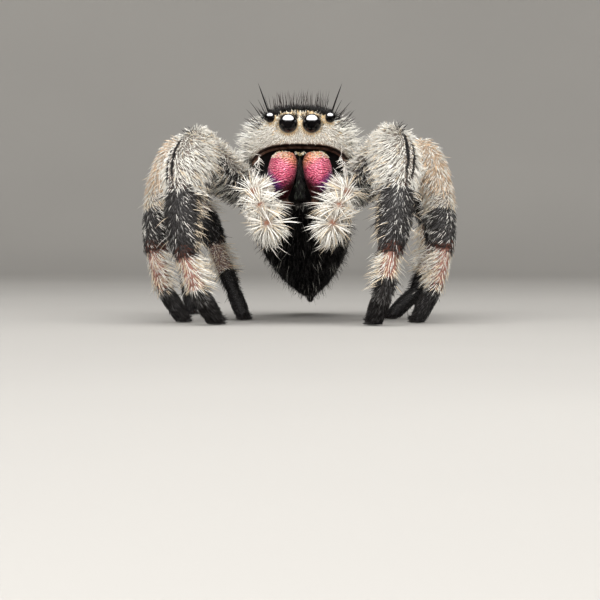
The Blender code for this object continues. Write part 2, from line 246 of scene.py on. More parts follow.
# Points on the palps from which the hairs fan out, as in a dandelion
BURST_PLACES = {0: (), 1: (0.10, 0.86), 2: (0.86,)}
BURSTS = np.array([
    s.start + s.axis * s.length * t + s.dorsal * s.belly
    for s in LIMBS if s.pair == PALP for t in BURST_PLACES[s.index]
])


def burst_gaps(points):
    """How far each point is from each burst."""
    return np.linalg.norm(points[:, None] - BURSTS[None], axis=2)


# --- meshes


def new_object(name, data):
    obj = bpy.data.objects.new(name, data)
    SCENE.collection.objects.link(obj)
    return obj


def new_mesh(name, points, faces, scale=MM):
    mesh = bpy.data.meshes.new(name)
    mesh.from_pydata(np.asarray(points) * scale, [], faces)
    return mesh


def piece(name, mesh, material, slot, *replaced):
    """A smooth piece of the model, which rides the one body."""
    mesh.validate()
    mesh.shade_smooth()
    mesh.materials.append(material)
    obj = new_object(name, mesh)
    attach(obj, "root")
    if replaced:
        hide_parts(*replaced)


def write(collection, field, values, kind=np.float32):
    collection.foreach_set(field, values.astype(kind).ravel())


def set_colour(mesh, rgb):
    layer = mesh.attributes.new("coat", "FLOAT_COLOR", "POINT")
    write(layer.data, "color", np.concatenate([np.clip(rgb, 0, 1), np.ones((len(rgb), 1))], 1))


def ring_faces(rings, sides, first=0):
    """Faces between rings of points that follow each other."""
    faces = []
    for k in range(first, first + (rings - 1) * sides, sides):
        for i in range(sides):
            j = (i + 1) % sides
            faces.append((k + i, k + j, k + sides + j, k + sides + i))
    return faces


def closed_faces(rings, sides):
    """The same, with both ends closed by the two points that come after the rings."""
    faces = ring_faces(rings, sides)
    pole, last = rings * sides, (rings - 1) * sides
    for i in range(sides):
        j = (i + 1) % sides
        faces += [(j, i, pole), (last + i, last + j, pole + 1)]
    return faces


def turns_of(sides):
    return np.arange(sides) * 2 * pi / sides


def rows(x, y, z):
    """Points or ways from three coordinates, of which any may be one for all."""
    return np.stack(np.broadcast_arrays(x, y, z), 1)


def tube_shape(start, end, start_radius, belly, end_radius, sides=22, spacing=0.09):
    """A round-ended limb segment that swells to its belly."""
    axis = unit(end - start)
    length = float(np.linalg.norm(end - start))
    across = unit(np.cross(axis, (0.31, 0.17, 0.93)))
    up = np.cross(axis, across)
    stations = [(-start_radius * sin(a), start_radius * cos(a)) for a in (1.25, 0.85, 0.45)]
    count = max(5, int(length / spacing))
    for k in range(count + 1):
        t = k / count
        straight = start_radius + (end_radius - start_radius) * t
        swell = sin(pi * t**0.9) ** 0.75 if 0 < t < 1 else 0.0
        stations.append((t * length, straight + (belly - straight) * swell))
    stations += [(length + end_radius * sin(a), end_radius * cos(a)) for a in (0.45, 0.85, 1.25)]
    turns = turns_of(sides)
    ring = np.cos(turns)[:, None] * across + np.sin(turns)[:, None] * up
    points = [start + axis * z + ring * r for z, r in stations]
    points = np.concatenate(points + [[start - axis * start_radius], [end + axis * end_radius]])
    return points, closed_faces(len(stations), sides)


def ball_rings(sides, rings, power=1.0):
    """A unit ball, or one with fuller ends: rings from the bottom to the top, and then both poles."""
    turns = turns_of(sides)
    points = []
    for k in range(1, rings):
        a = pi * k / rings - pi / 2
        width = cos(a) ** power
        points.append(rows(np.cos(turns) * width, np.sin(turns) * width, sin(a)))
    return np.concatenate(points + [[[0, 0, -1.0], [0, 0, 1.0]]])


def ball_shape(centre, halves, sides=24):
    rings = sides // 2
    return ball_rings(sides, rings) * halves + centre, closed_faces(rings - 1, sides)


def joined(shapes):
    points, faces, start = [], [], 0
    for p, f in shapes:
        points.append(p)
        faces += [tuple(i + start for i in face) for face in f]
        start += len(p)
    return np.concatenate(points), faces


def remeshed(shape, voxel, smoothing, inset=0.0):
    """The outer surface of a pile of closed shapes, smoothed, and then sunk by inset."""
    obj = new_object("raw", new_mesh("raw", *shape, scale=1))
    remesh = obj.modifiers.new("remesh", "REMESH")
    remesh.mode = "VOXEL"
    remesh.voxel_size = voxel
    remesh.adaptivity = 0.0
    smooth = obj.modifiers.new("smooth", "SMOOTH")
    smooth.factor = 0.5
    smooth.iterations = smoothing
    graph = bpy.context.evaluated_depsgraph_get()
    result = bpy.data.meshes.new_from_object(obj.evaluated_get(graph))
    bpy.data.objects.remove(obj)
    points = read(result.vertices, "co", 3)
    points -= read(result.vertices, "normal", 3) * inset
    return points, [tuple(p.vertices) for p in result.polygons]


def read(collection, field, width):
    values = np.empty(len(collection) * width, np.float32)
    collection.foreach_get(field, values)
    return values.reshape(-1, width).astype(float)


# --- one skin


def pressed(heights, clear):
    """Heights, with all that would go under the floor pressed flat within a clear height of it."""
    low = np.minimum(heights, clear)
    return np.where(heights < clear, clear * np.exp((low - clear) / (3 * clear)), heights)


def build_skin():
    """The bare body as one closed mesh, with the region that each of its points belongs to."""
    shapes, labels = [], []

    def add(shape, region):
        shapes.append(shape)
        labels.append(np.full(len(shape[0]), region))

    for region, name in enumerate(BODY_REGIONS[:SPINNERETS]):
        add(remeshed(cad_mesh(name), 0.08, 4, BODY_COAT[name]), region)
    reach = (cad_mesh("spinnerets")[0] - TAIL) @ BACK_AXIS
    start, end = TAIL + BACK_AXIS * (reach.min() - 0.1), TAIL + BACK_AXIS * (reach.max() - 0.16)
    for turn in (0.8, 2.3, 3.9, 5.4):
        out = BACK_SIDE * cos(turn) + BACK_UP * sin(turn)
        add(tube_shape(start + out * 0.03, end + out * 0.075, 0.12, 0.11, 0.055, 12), SPINNERETS)
    # Sockets of the eyes, the chest, the waist and the flesh behind the jaws
    for centre, radius in EYES.values():
        middle = np.array([FACE[0], centre[1] + 1.5, centre[2] - 0.5])
        add(ball_shape(centre + unit(middle - centre) * radius * 0.70, radius * 1.05), HEAD)
    add(ball_shape(cad_middle("sternum") + (0, 0, 0.35), (1.25, 1.75, 0.6)), CHEST)
    add(tube_shape(WAIST + (0, -0.9, -0.1), WAIST + (0, 0.6, -0.05), 0.24, 0.24, 0.24), CHEST)
    add(ball_shape((FACE[0], FACE[1] + 1.35, EYE_LEVEL - 2.0), (1.55, 0.55, 0.75)), CHEST)
    for number, s in enumerate(LIMBS):
        same = {o.index: o for o in LIMBS if (o.pair, o.side) == (s.pair, s.side)}
        before, after = same.get(s.index - 1), same.get(s.index + 1)
        start = JOINT_SHARE * (min(s.coat_radius, before.coat_radius) if before else s.coat_radius * 0.8)
        end = JOINT_SHARE * min(s.coat_radius, after.coat_radius) if after else 0.62 * s.coat_radius
        add(tube_shape(s.start, s.end, start, s.belly, end), FIRST_LIMB + number)
        if s.index == 0:
            inward = np.array([FACE[0], s.start[1], s.start[2]]) - s.start
            root = s.start + ((0, 0.6, 0) if s.pair == PALP else unit(inward) * 0.5)
            add(tube_shape(root, s.start, start * 0.8, start * 0.9, start), CHEST)
    points, faces = remeshed(joined(shapes), VOXEL, 5)
    points[:, 2] = pressed(points[:, 2], SKIN_CLEAR)
    sources, labels = np.concatenate([s[0] for s in shapes]), np.concatenate(labels)
    tree = KDTree(len(sources))
    for i, p in enumerate(sources):
        tree.insert(p, i)
    tree.balance()
    return points, faces, np.array([labels[tree.find(p)[1]] for p in points])


# --- places on the body


class Spots:
    """Points on the skin with all that colour and coat depend on."""

    def __init__(self, points, normals, regions):
        self.p, self.n, self.region = points, normals, regions
        self.count = len(points)
        self.pair, self.index, self.side = PAIR_OF[regions], INDEX_OF[regions], SIDE_OF[regions]
        rel = points - START_OF[regions]
        self.axis, self.dorsal, self.outer = AXIS_OF[regions], DORSAL_OF[regions], OUTER_OF[regions]
        self.t = (rel * self.axis).sum(1) / LENGTH_OF[regions]
        self.phi = np.arctan2((rel * self.outer).sum(1), (rel * self.dorsal).sum(1))
        self.side_on = np.abs(self.phi)
        self.limb = self.pair > 0
        self.x, self.y, self.z = (points - FACE).T
        self.out = np.abs(self.x)
        self.above = self.z - EYE_LEVEL
        back = points - WAIST
        self.back_t = back @ BACK_AXIS / BACK_LENGTH
        self.back_phi = np.arctan2(back @ BACK_SIDE, back @ BACK_UP)
        self.cloud = wander(points, 2.2)
        self.grain = wander(points, 7.0, (9, 3, 5))
        self.eye_gap, self.eye_away = self.nearest_eye()

    def nearest_eye(self):
        gap = np.full(self.count, 9.0)
        away = np.zeros_like(self.p)
        for centre, radius in EYES.values():
            rel = self.p - centre
            d = np.linalg.norm(rel, axis=1) - radius
            nearer = d < gap
            gap[nearer] = d[nearer]
            away[nearer] = unit(rel[nearer])
        return gap, away

    def is_leg(self, pairs, index):
        return np.isin(self.pair, pairs) & (self.index == index)


def wander(points, frequency, shift=(0, 0, 0)):
    """Noise from -1 to 1 at each point."""
    return np.array([noise.noise(Vector(p) * frequency + Vector(shift)) for p in points])


def blend(a, b, share):
    share = np.asarray(share)[..., None]
    return a * (1 - share) + b * share


def ramp(value, low, high):
    return np.clip((value - low) / (high - low), 0, 1)


ARCH_FOOT = EYE_LEVEL - 2.5
ARCH_HALF_WIDTH = 1.80
ARCH_HEIGHT = 1.64
ARCH_SQUARENESS = 3.2


def arch_ring(s):
    """1 on the rim of the opening that holds the jaws, less inside it."""
    out = s.out / ARCH_HALF_WIDTH
    up = np.maximum(s.z - ARCH_FOOT, 0) / ARCH_HEIGHT
    return (out**ARCH_SQUARENESS + up**ARCH_SQUARENESS) ** (1 / ARCH_SQUARENESS)


def markings(s):
    """Two colours of coat at each spot, the share of hairs of the second, and the bare skin's colour."""
    first = np.tile(WHITE, (s.count, 1))
    second = np.tile(CREAM, (s.count, 1))
    share = np.full(s.count, 0.12)
    bare = np.tile(SKIN_PAINTED_SHADE, (s.count, 1))

    def paint(mask, *values):
        """Sets the four in turn, as far as values go. A value is one for all, or has a row for each spot."""
        for target, value in zip((first, second, share, bare), values):
            if value is not None:
                value = np.asarray(value)
                target[mask] = value[mask] if value.ndim and len(value) == s.count else value

    head_markings(s, paint)
    abdomen_markings(s, paint)
    limb_markings(s, paint)
    return first, second, share, bare


def head_markings(s, paint):
    """A black cap above the eyes, gold round them, white cheeks and a bare brown rim over the jaws."""
    out, y, above = s.out, s.y, s.above
    head = s.region == HEAD
    front = head & (y < 1.2)
    paint(front, WHITE, CREAM, 0.08, FACE_SKIN_PAINTED_LIGHT_AND_SHADE)
    near_eye = 1 - ramp(s.eye_gap, 0.02, 0.15)
    upper = ramp(above, 0, 0.4)
    crown = upper * (out < 1.3)
    paint(
        front & (above > -0.42),
        blend(WHITE, linear(252, 238, 208), np.maximum(0.8 * near_eye, 0.6 * upper)),
        GOLD,
        np.clip(0.04 + 0.26 * near_eye + 0.20 * crown, 0, 0.42),
        blend(FACE_SKIN_PAINTED_LIGHT_AND_SHADE, linear(198, 172, 134), np.maximum(near_eye, crown)),
    )
    edge = 0.09 * s.grain + 0.10 * s.cloud
    brow = (s.n[:, 2] > 0.66 + 0.4 * edge) & (above > 0.12) & (out < 1.40 + edge) & (y < 0.8)
    top = (y > 0.75) & (y < 3.6 + 2 * edge) & (out < 1.62 + 1.6 * edge) & (above > 0.18 + 1.3 * edge)
    cap = head & (brow | top)
    paint(cap, BLACK, SMOKE, 0.22, BLACK)
    paint(cap & (y > 1.2), None, GREY, np.clip(0.34 + 0.5 * s.cloud, 0.1, 0.6) * ramp(y, 0.8, 2.2))
    paint(head & ~cap & (y > 3.3), SMOKE, GREY, 0.5, DARK)
    paint(head & ~cap & (y > 1.1) & (out > 1.3), WHITE, GREY, np.clip(0.30 + 0.5 * s.cloud, 0.05, 0.8), LEG_SKIN_PAINTED_SHADE)
    ring = arch_ring(s)
    paint(head & (y < 1.7) & (ring < 1.09) & (s.n[:, 2] < 0.6), BROWN, DARK, 0.4, BROWN)
    paint(head & (y < 2.2) & (ring < 1.0), DARK, BLACK, 0.5, BLACK)
    paint(s.region == CHEST, GREY, WHITE, 0.30, SMOKE)
    paint((s.region == CHEST) & (y < 2.8 + s.cloud), DARK, BLACK, 0.5, BLACK)


def abdomen_markings(s, paint):
    """Black with a white front band, pairs of white spots, a triangle and slanting lines on the flanks."""
    back = s.region == ABDOMEN
    t, round_back = s.back_t, np.abs(s.back_phi)
    paint(back, BLACK, SMOKE, 0.22, BLACK)
    pale = (np.abs(t - 0.13 - 0.02 * np.cos(s.back_phi)) < 0.045 + 0.02 * s.grain) & (round_back < 2.1)
    for place, out, long, wide in (
        (0.40, 0.50, 0.035, 0.13),
        (0.57, 0.62, 0.030, 0.16),
        (0.70, 0.60, 0.026, 0.18),
        (0.82, 0.55, 0.022, 0.20),
    ):
        pale |= ((t - place) / long) ** 2 + ((round_back - out) / wide) ** 2 < 1 + 2 * s.grain
    pale |= (t > 0.47) & (t < 0.56) & (round_back < 0.32 * (0.57 - t) / 0.10 + 0.04)
    for place in (0.36, 0.60):
        line = place + 0.10 * (round_back - 1.5)
        pale |= (np.abs(t - line) < 0.030) & (round_back > 1.15) & (round_back < 1.95)
    paint(back & pale, WHITE, CREAM, 0.15, GREY)
    paint(back & ~pale & (round_back > 1.0) & (round_back < 2.0) & (t < 0.8), None, GREY, 0.30)
    paint(s.region == SPINNERETS, DARK, SMOKE, 0.4, DARK)


def limb_markings(s, paint):
    """White palps, white front legs with black bands, creamy second legs, dark hind legs with pale rings."""
    t, cloud, grain = s.t, s.cloud, s.grain
    palp = s.pair == PALP
    spot = 1 - ramp(burst_gaps(s.p).min(axis=1), 0.08, 0.18)
    paint(palp, WHITE, CREAM, 0.20, blend(SKIN_PAINTED_SHADE, linear(128, 84, 62), spot))
    for index in (0, 1):
        m = s.is_leg((1,), index)
        paint(m, WHITE, CREAM, 0.08, LEG_SKIN_PAINTED_SHADE)
        # The underside and inner flank are greyer and darker: partly the legs' own colour, partly painted
        # shade.
        paint(m & ((s.side_on > 1.9) | (s.phi < -1.75 + 0.2 * grain)), WHITE, SMOKE, 0.55, DARK)
        paint(s.is_leg((2,), index), WHITE, PEACH, 0.38, blend(LEG_SKIN_PAINTED_SHADE, PEACH, 0.35))
        m = s.is_leg((3, 4), index)
        paint(m, GREY, SMOKE, np.clip(0.72 + 0.6 * cloud, 0.2, 0.97), DARK)
        paint(m & (s.side_on < 0.7) & (cloud > 0.02), WHITE, GREY, 0.5)
    paint(bare_lines(s), BLACK, BLACK, 1.0, BLACK)
    m = s.is_leg((1,), 2)
    frosted = blend(GREY, WHITE, ramp(grain, -0.3, 0.5))
    paint(m, blend(SMOKE, DARK, 0.4), frosted, np.clip(0.22 + 0.35 * cloud, 0.06, 0.45), DARK)
    paint(m & (s.side_on > 1.3) & (s.side_on < 2.6), SMOKE, CREAM, 0.40)
    paint(m & (t < 0.07), WHITE, SMOKE, 0.5, BROWN)
    m = s.is_leg((1, 2), 3)
    paint(m, WHITE, CREAM, 0.40, blend(PINK, RUST, np.clip(0.25 + 0.7 * cloud + 0.4 * grain, 0, 0.8)))
    paint(m & (t < 0.12), DARK, RUST, 0.4, RUST)
    paint(s.is_leg((1,), 3) & (t > np.where(s.side > 0, 0.70, 0.92)), SMOKE, DARK, 0.4, DARK)
    m = s.is_leg((2,), 2)
    paint(m, WHITE, CREAM, 0.4, LEG_SKIN_PAINTED_SHADE)
    paint(m & (t > 0.30 + 0.08 * grain), SMOKE, WHITE, 0.22, DARK)
    m = s.is_leg((3, 4), 2)
    hind_skin = blend(PINK, SMOKE, 0.65)
    paint(m, DARK, GREY, 0.25, BLACK)
    paint(m & (t < 0.28), WHITE, CREAM, 0.4, hind_skin)
    m = s.is_leg((3, 4), 3)
    paint(m, WHITE, CREAM, 0.4, hind_skin)
    paint(m & (t > 0.60), DARK, SMOKE, 0.4, BLACK)
    paint(s.is_leg(PAIRS, 4), DARK, SMOKE, 0.25, BLACK)
    paint(s.is_leg((1, 2), 4) & (t < 0.22), SMOKE, GREY, 0.4, DARK)


def bare_lines(s):
    """The two bare black lines down the outer side of the front legs."""
    leg = (s.is_leg((1,), 1) & (s.t < 0.95)) | (s.is_leg((1,), 0) & (s.t > 0.70))
    place = s.phi - 0.05 * s.grain
    return leg & ((np.abs(place - 0.30) < 0.095) | (np.abs(place - 0.74) < 0.095))


# --- the lie of the coat

BROW = FACE + (0, -0.2, EYE_LEVEL + 0.25)  # the face's hairs lead away from here


def lie_of(s):
    """Which way the hairs lie at each spot, along the skin."""
    lie = np.tile((0.0, 1.0, -0.15), (s.count, 1))
    head = s.region == HEAD
    lie[head] = unit((s.p - BROW) * (1, 1, 1.25))[head]
    hug = head & (s.eye_gap < 0.5)
    pull = (1 - ramp(s.eye_gap, 0.0, 0.45))[:, None] * 2.0
    lie[hug] = unit(lie + s.eye_away * pull)[hug]
    lie[s.region == ABDOMEN] = BACK_AXIS
    # On the legs the hairs fan out to both sides, and part at the bare lines
    fan = np.where(s.index < 4, 0.75, 0.1) * np.sin(s.phi)
    inward = -0.40 - 0.75 * ramp(0.24 - s.phi, 0, 1.4)
    knee = (s.pair == 1) & (s.index < 2)
    fan[knee] = np.where(s.phi < 0.24, inward, np.where(s.phi < 0.82, 0.0, 0.50))[knee]
    shin = (s.pair <= 2) & (s.index == 2)
    fan[shin] = (1.15 * np.sin(s.phi))[shin]
    round_way = s.outer * np.cos(s.phi)[:, None] - s.dorsal * np.sin(s.phi)[:, None]
    leg = s.limb & (s.pair != PALP)
    lie[leg] = (s.axis + round_way * fan[:, None])[leg]
    palp = s.pair == PALP
    if palp.any():
        away = s.p[palp] - BURSTS[burst_gaps(s.p[palp]).argmin(1)]
        lie[palp] = unit(unit(away * (1, 0.5, 1)) + s.axis[palp] * 0.10)
    return along_skin(lie, s.n)


def along_skin(ways, normals):
    return unit(ways - normals * (ways * normals).sum(1)[:, None])


def turned(lie, normal, angle):
    """Vectors turned about the normal."""
    return lie * np.cos(angle)[:, None] + np.cross(normal, lie) * np.sin(angle)[:, None]


class Skin:
    def __init__(self, points, faces, regions):
        self.points, self.faces = points, faces
        self.tris = np.array([(f[0], f[k], f[k + 1]) for f in faces for k in range(1, len(f) - 1)])
        a, b, c = (points[self.tris[:, k]] for k in range(3))
        cross = np.cross(b - a, c - a)
        self.area = np.linalg.norm(cross, axis=1) / 2
        normals = np.zeros_like(points)
        for k in range(3):
            np.add.at(normals, self.tris[:, k], cross)
        self.spots = Spots(points, unit(normals), regions)
        self.tree = surface_tree(points, self.tris)

    def scatter(self, density):
        """Roots spread evenly, by the number wanted per square millimetre at each of the skin's points."""
        weight = self.area * np.asarray(density, float)[self.tris].mean(axis=1)
        total = np.cumsum(weight)
        count = int(total[-1])
        picks = (np.arange(count) + RNG.random(count)) / count * total[-1]
        chosen = np.minimum(np.searchsorted(total, picks), len(weight) - 1)
        u, v = RNG.random(count), RNG.random(count)
        over = u + v > 1
        u[over], v[over] = 1 - u[over], 1 - v[over]
        corners = self.tris[chosen]
        shares = np.stack([1 - u - v, u, v], 1)[:, :, None]
        points = (self.points[corners] * shares).sum(1)
        normals = unit((self.spots.n[corners] * shares).sum(1))
        return Spots(points, normals, self.spots.region[corners[:, 0]])

    def nearest(self, places):
        """Roots on the skin nearest to the given places."""
        found = [self.tree.find_nearest(Vector(place)) for place in places]
        regions = [self.spots.region[self.tris[face][0]] for _, _, face, _ in found]
        points, normals = (np.array([hit[k] for hit in found]) for k in (0, 1))
        return Spots(points, unit(normals), np.array(regions))


# --- hairs

ATLAS = 8  # cells along each side of the unwrap
PATCH = 0.003
HEAD_MIDDLE = 6.0  # height of the line that the head and chest are unrolled about
HEAD_LENGTH = 6.5
BEYOND = 0.3  # how far a cell reaches past both ends, as a share of its part's length
COAT_TRIANGLES = 190_000
ROOT_DEPTH = 0.02
HAIR_TAPER = 0.75
LIFT_PLAY = 7  # degrees


def unwrap(s):
    """Where each spot lies when every length of limb and body is unrolled into a cell of its own."""
    turn = np.where(s.limb, s.phi, np.arctan2(s.x, s.z - HEAD_MIDDLE))
    along = np.where(s.limb, s.t, s.y / HEAD_LENGTH)
    back = (s.region == ABDOMEN) | (s.region == SPINNERETS)
    turn[back], along[back] = s.back_phi[back], s.back_t[back]
    u = np.clip(turn / (2 * pi) + 0.5, 0, 1)
    v = np.clip((along + BEYOND) / (1 + 2 * BEYOND), 0, 1)
    column, row = s.region % ATLAS, s.region // ATLAS
    scale = 1 / ATLAS - 2 * PATCH
    return np.stack([column / ATLAS + PATCH + u * scale, row / ATLAS + PATCH + v * scale], 1)


def grow(name, s, lie, length, radius, lift, bend, colour, tip_colour, rings, slot):
    """Tapering three-sided hairs from the spots, as one or more coat pieces."""
    side = np.cross(lie, s.n)
    at = s.p - s.n * ROOT_DEPTH
    uv_root = unwrap(s)
    points, colours, uvs = [], [], []
    for k in range(rings):
        share = k / rings
        angle = lift + bend * share
        way = lie * np.cos(angle)[:, None] + s.n * np.sin(angle)[:, None]
        r = (radius * (1 - HAIR_TAPER * share**1.5))[:, None]
        up = np.cross(way, side)
        for j in range(3):
            turn = 2 * pi * j / 3 + pi / 2
            points.append(at + (side * cos(turn) + up * sin(turn)) * r)
            uvs.append(uv_root + PATCH * np.array([(j - 1) * 0.5, share - 0.5 - (0.15 if j == 1 else 0)]))
        colours += [blend(colour, tip_colour, share)] * 3
        at = at + way * (length / rings)[:, None]
    points = np.stack(points + [at], 1)
    points[..., 2] = pressed(points[..., 2], HAIR_CLEAR)
    colours = np.stack(colours + [tip_colour], 1)
    uvs = np.stack(uvs + [uv_root + PATCH * np.array([0, 0.5])], 1)
    last = rings * 3 - 3
    faces = [(0, 2, 1)] + ring_faces(rings, 3) + [(last + j, last + (j + 1) % 3, last + 3) for j in range(3)]
    parts = ceil(s.count * (6 * (rings - 1) + 4) / COAT_TRIANGLES)
    for part in range(parts):
        chosen = slice(part * s.count // parts, (part + 1) * s.count // parts)
        mesh = hair_mesh(name, points[chosen], colours[chosen], uvs[chosen], faces)
        piece(f"{name}_{chr(ord('a') + part)}" if parts > 1 else name, mesh, COAT_MATERIAL, slot)


def hair_mesh(name, points, colours, uvs, faces):
    """The same faces over each row of points."""
    count, width = points.shape[:2]
    corners = np.array([i for f in faces for i in f])
    loops = (np.arange(count)[:, None] * width + corners).ravel()
    sizes = np.tile([len(f) for f in faces], count)
    starts = np.concatenate([[0], np.cumsum(sizes)[:-1]])
    mesh = bpy.data.meshes.new(name)
    mesh.vertices.add(count * width)
    write(mesh.vertices, "co", points * MM)
    mesh.loops.add(len(loops))
    write(mesh.loops, "vertex_index", loops, np.int32)
    mesh.polygons.add(len(sizes))
    write(mesh.polygons, "loop_start", starts, np.int32)
    write(mesh.polygons, "loop_total", sizes, np.int32)
    mesh.update(calc_edges=True)
    write(mesh.uv_layers.new(name="OFBake").data, "uv", uvs.reshape(-1, 2)[loops])
    set_colour(mesh, colours.reshape(-1, 3))
    return mesh


def hair_colours(s, play=0.07):
    """One of the two colours of each spot, with more play in the dark ones."""
    first, second, share, _ = markings(s)
    pick = RNG.random(s.count) < share
    colour = np.where(pick[:, None], second, first)
    play = play + 0.30 * (colour.mean(1) < 0.12)
    return colour * np.clip(1 + play * normal(s.count), 0.2, 2.0)[:, None]


# --- materials


def set_inputs(node, values):
    """Sets a node's settings and inputs by name, with _ for a space. A socket is wired to its input."""
    for key, value in values.items():
        name = key.replace("_", " ")
        if hasattr(node, key):
            setattr(node, key, value)
        elif isinstance(value, bpy.types.NodeSocket):
            node.id_data.links.new(value, node.inputs[name])
        else:
            node.inputs[name].default_value = value


def node_material(name, **values):
    mat = bpy.data.materials.new(name)
    mat.use_nodes = True
    shader = mat.node_tree.nodes["Principled BSDF"]
    set_inputs(shader, values)
    return mat, shader


def add_node(shader, kind, output, **values):
    """An output of a new node beside the shader."""
    node = shader.id_data.nodes.new("ShaderNode" + kind)
    set_inputs(node, values)
    return node.outputs[output]


def grain(shader, scale, detail=2.0):
    place = add_node(shader, "TexCoord", "Object")
    return add_node(shader, "TexNoise", "Fac", Vector=place, Scale=scale, Detail=detail)


def cells(shader, scale):
    place = add_node(shader, "TexCoord", "Object")
    return add_node(shader, "TexVoronoi", "Distance", Vector=place, Scale=scale)


def tint_by_mesh(shader, texture, low, high, dark, light):
    """The mesh's own colour, made darker and lighter by a texture."""
    colour = add_node(shader, "Attribute", "Color", attribute_name="coat")
    limits = {"From_Min": low, "From_Max": high, "To_Min": dark, "To_Max": light}
    level = add_node(shader, "MapRange", "Result", Value=texture, **limits)
    settings = {"data_type": "RGBA", "blend_type": "MULTIPLY", "Factor": 1.0}
    set_inputs(shader, {"Base_Color": add_node(shader, "Mix", "Result", **settings, A=colour, B=level)})


def mottle(shader, scale, dark, light):
    """Colour that wanders between two tones."""
    tint = shader.id_data.nodes.new("ShaderNodeValToRGB")
    for stop, position, tone in zip(tint.color_ramp.elements, (0.3, 0.7), (dark, light)):
        stop.position = position
        stop.color = (*tone, 1)
    set_inputs(tint, {"Fac": grain(shader, scale)})
    set_inputs(shader, {"Base_Color": tint.outputs["Color"]})


def bump(shader, height, strength, distance):
    lifted = add_node(shader, "Bump", "Normal", Height=height, Strength=strength, Distance=distance)
    set_inputs(shader, {"Normal": lifted})


def coat_material():
    """Hair colour from the mesh, broken up by fine noise."""
    mat, shader = node_material("coat_hair", Roughness=0.45, Specular_IOR_Level=0.45)
    tint_by_mesh(shader, grain(shader, 2600.0), 0.3, 0.7, 0.86, 1.08)
    return mat


def skin_material():
    """Bare skin with the coat's markings and a fine furry bump."""
    mat, shader = node_material("skin_under_coat", Roughness=0.5, Specular_IOR_Level=0.4)
    tint_by_mesh(shader, grain(shader, 9000.0, 4.0), 0.3, 0.7, 0.70, 1.10)
    bump(shader, cells(shader, 14000.0), 0.5, 0.00002)
    return mat


def jaw_material():
    """Metallic scales, coloured by the mesh and ridged by its shape."""
    gloss = {"Coat_Weight": 0.5, "Coat_Roughness": 0.25}
    mat, shader = node_material("iridescent_shell", Metallic=0.25, Roughness=0.32, **gloss)
    scales = cells(shader, 17000.0)
    tint_by_mesh(shader, scales, 0.0, 0.6, 1.15, 0.75)
    bump(shader, scales, 0.35, 0.00002)
    return mat


def eye_material():
    """Polished black lens, very slightly mottled deep down."""
    polish = {"Coat_Weight": 1.0, "Coat_Roughness": 0.02, "Coat_IOR": 1.45}
    mat, shader = node_material("eye_lens", Roughness=0.04, Specular_IOR_Level=0.0, **polish)
    mottle(shader, 3000.0, (0.0015, 0.0015, 0.0015), (0.006, 0.005, 0.005))
    return mat


def shell_material(name, dark, light):
    """Bare horny shell, brown and glossy, finely pitted."""
    mat, shader = node_material(name, Roughness=0.22, Coat_Weight=0.6, Coat_Roughness=0.15)
    mottle(shader, 4000.0, dark, light)
    bump(shader, grain(shader, 16000.0), 0.3, 0.00001)
    return mat


def floor_material():
    mat, shader = node_material("pale_floor", Roughness=0.75)
    mottle(shader, 40.0, (0.40, 0.385, 0.362), (0.42, 0.405, 0.38))
    return mat


COAT_MATERIAL = coat_material()
SHELL_MATERIAL = shell_material("horny_shell", (0.030, 0.015, 0.010), (0.100, 0.050, 0.035))

# --- build: skin, eyes and jaws

skin = Skin(*build_skin())
skin_mesh = new_mesh("skin", skin.points, skin.faces)
set_colour(skin_mesh, markings(skin.spots)[3])
flesh = [n for n in frame["nodes"] if not n.startswith(("eye_", "chelicera_"))]
piece("skin", skin_mesh, skin_material(), "white_coat", *flesh)


def build_eyes():
    lens = eye_material()
    for name, (centre, radius) in EYES.items():
        points, faces = ball_shape(0, radius, 40)
        points = points[:, (0, 2, 1)] * (1, 1, -1) + centre
        piece(f"{name}_lens", new_mesh(name, points, faces), lens, "eye", name)


JAW_HALVES = np.array([0.550, 0.62, 0.84])
JAW_OUT = 0.60
RIDGE_PACE = 74.0  # radians in each millimetre of height
RIDGE_HEIGHT = 0.0085
GRAIN_HEIGHT = 0.010


def jaw_surface(centre, mirror):
    """A rounded jaw with fine cross ridges, and its colours: orange above, pink, then purple, and maroon low
    and inward, which is partly painted shade. The troughs between the ridges are darkened as painted shade,
    and the crests carry a painted highlight, strongest towards the top.
    """
    sides, rings = 170, 190
    ball = ball_rings(sides, rings, 0.72)
    rel = ball * JAW_HALVES
    fall = np.clip(0.55 - ball[:, 2], 0, 1.2) / 1.2
    square = np.clip(1 - np.maximum(ball[:, 2], 0) ** 2, 0.02, 1) ** -0.14
    inner = mirror * rel[:, 0] < 0
    rel[inner, 0] *= (square * (1 - 0.40 * fall))[inner]
    p = rel + centre
    fine = wander(p, 26.0, (3, 1, 8))
    ridge = np.sin(rel[:, 2] * RIDGE_PACE + wander(p, 5.0) * 8.0 + mirror * rel[:, 0] * 12.0 + fine * 2.4)
    p += unit(ball / JAW_HALVES) * (RIDGE_HEIGHT * ridge + GRAIN_HEIGHT * fine)[:, None]
    height = rel[:, 2] / JAW_HALVES[2]
    outer = mirror * rel[:, 0] / JAW_HALVES[0]
    colour = linear(238, 92, 128)
    for tone, share in (
        (linear(242, 150, 104), ramp(height - 0.40 * outer, 0.50, 0.92)),
        (linear(204, 40, 112), ramp(-height + 0.3 * outer, 0.0, 0.40)),
        (linear(96, 36, 126), ramp(outer * 0.8 - height, 0.32, 0.75)),
        # maroon low and inward: partly the jaw's own deep colour, partly painted shade under and between the
        # jaws
        (linear(66, 14, 22), ramp(-height - 0.50 * outer, 0.12, 0.60)),
    ):
        colour = blend(colour, tone, share)
    # painted shade: the troughs between the ridges darkened
    colour = blend(colour, colour * 0.15, 0.90 * ramp(-ridge - 0.8 * fine, 0.0, 0.75))
    # painted highlight: pale pink on the ridge crests, strongest towards the top of the jaw
    painted_highlight = 0.70 * ramp(ridge + fine, 0.5, 1.3) * ramp(height, -0.5, 0.3)
    return p, closed_faces(rings - 1, sides), blend(colour, linear(255, 205, 215), painted_highlight)


JAWS = []


